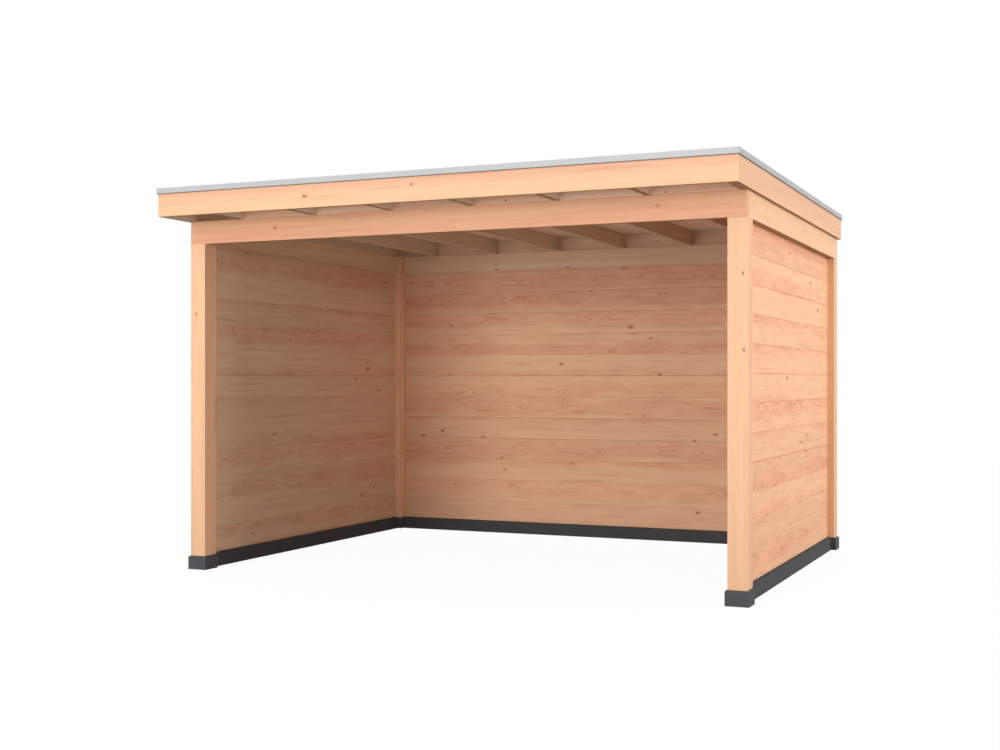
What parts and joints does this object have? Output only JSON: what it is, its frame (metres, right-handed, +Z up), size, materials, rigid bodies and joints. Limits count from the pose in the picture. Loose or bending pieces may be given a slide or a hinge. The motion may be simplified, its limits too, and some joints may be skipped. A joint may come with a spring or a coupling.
{
  "type": "wooden patio cover",
  "caption": "Flat-roofed timber patio cover with an open front, boarded side and back walls, posts on dark concrete feet, plinths under the walls and a metal roof edge trim.",
  "frame": {"origin": "on the ground, under the middle of the roof", "axes": "+X along the open front to the right, +Y from the open front to the back wall, +Z up"},
  "size_m": [4.045, 3.397, 2.646],
  "materials": {
    "concrete": "smooth cast, anthracite",
    "post_timber": "planed, untreated softwood",
    "beam_timber": "planed, untreated softwood",
    "wall_boards": "planed, untreated softwood",
    "batten_timber": "planed, untreated softwood",
    "joist_timber": "planed, untreated softwood",
    "deck_boards": "planed, untreated softwood",
    "fascia_boards": "planed, untreated softwood",
    "edge_trim": "matt mill",
    "roofing_sheet": "matt"
  },
  "bodies": {
    "root": {"battens_back_left": "batten_timber", "battens_back_right": "batten_timber", "battens_left_back": "batten_timber", "battens_left_front": "batten_timber", "battens_right_back": "batten_timber", "battens_right_front": "batten_timber", "beam_back": "beam_timber", "beam_front": "beam_timber", "beam_left": "beam_timber", "beam_right": "beam_timber", "blocking_front": "joist_timber", "edge_trim_back": "edge_trim", "edge_trim_front": "edge_trim", "edge_trim_left": "edge_trim", "edge_trim_right": "edge_trim", "fascia_back": "fascia_boards", "fascia_front": "fascia_boards", "fascia_left": "fascia_boards", "fascia_right": "fascia_boards", "foot_back_left": "concrete", "foot_back_right": "concrete", "foot_front_left": "concrete", "foot_front_right": "concrete", "joist_1": "joist_timber", "joist_2": "joist_timber", "joist_3": "joist_timber", "joist_4": "joist_timber", "joist_5": "joist_timber", "joist_6": "joist_timber", "joist_7": "joist_timber", "joist_8": "joist_timber", "plinth_back": "concrete", "plinth_left": "concrete", "plinth_right": "concrete", "post_back_left": "post_timber", "post_back_right": "post_timber", "post_front_left": "post_timber", "post_front_right": "post_timber", "roof_deck": "deck_boards", "roof_membrane": "roofing_sheet", "wall_back": "wall_boards", "wall_left": "wall_boards", "wall_right": "wall_boards"}
  },
  "joints": []
}
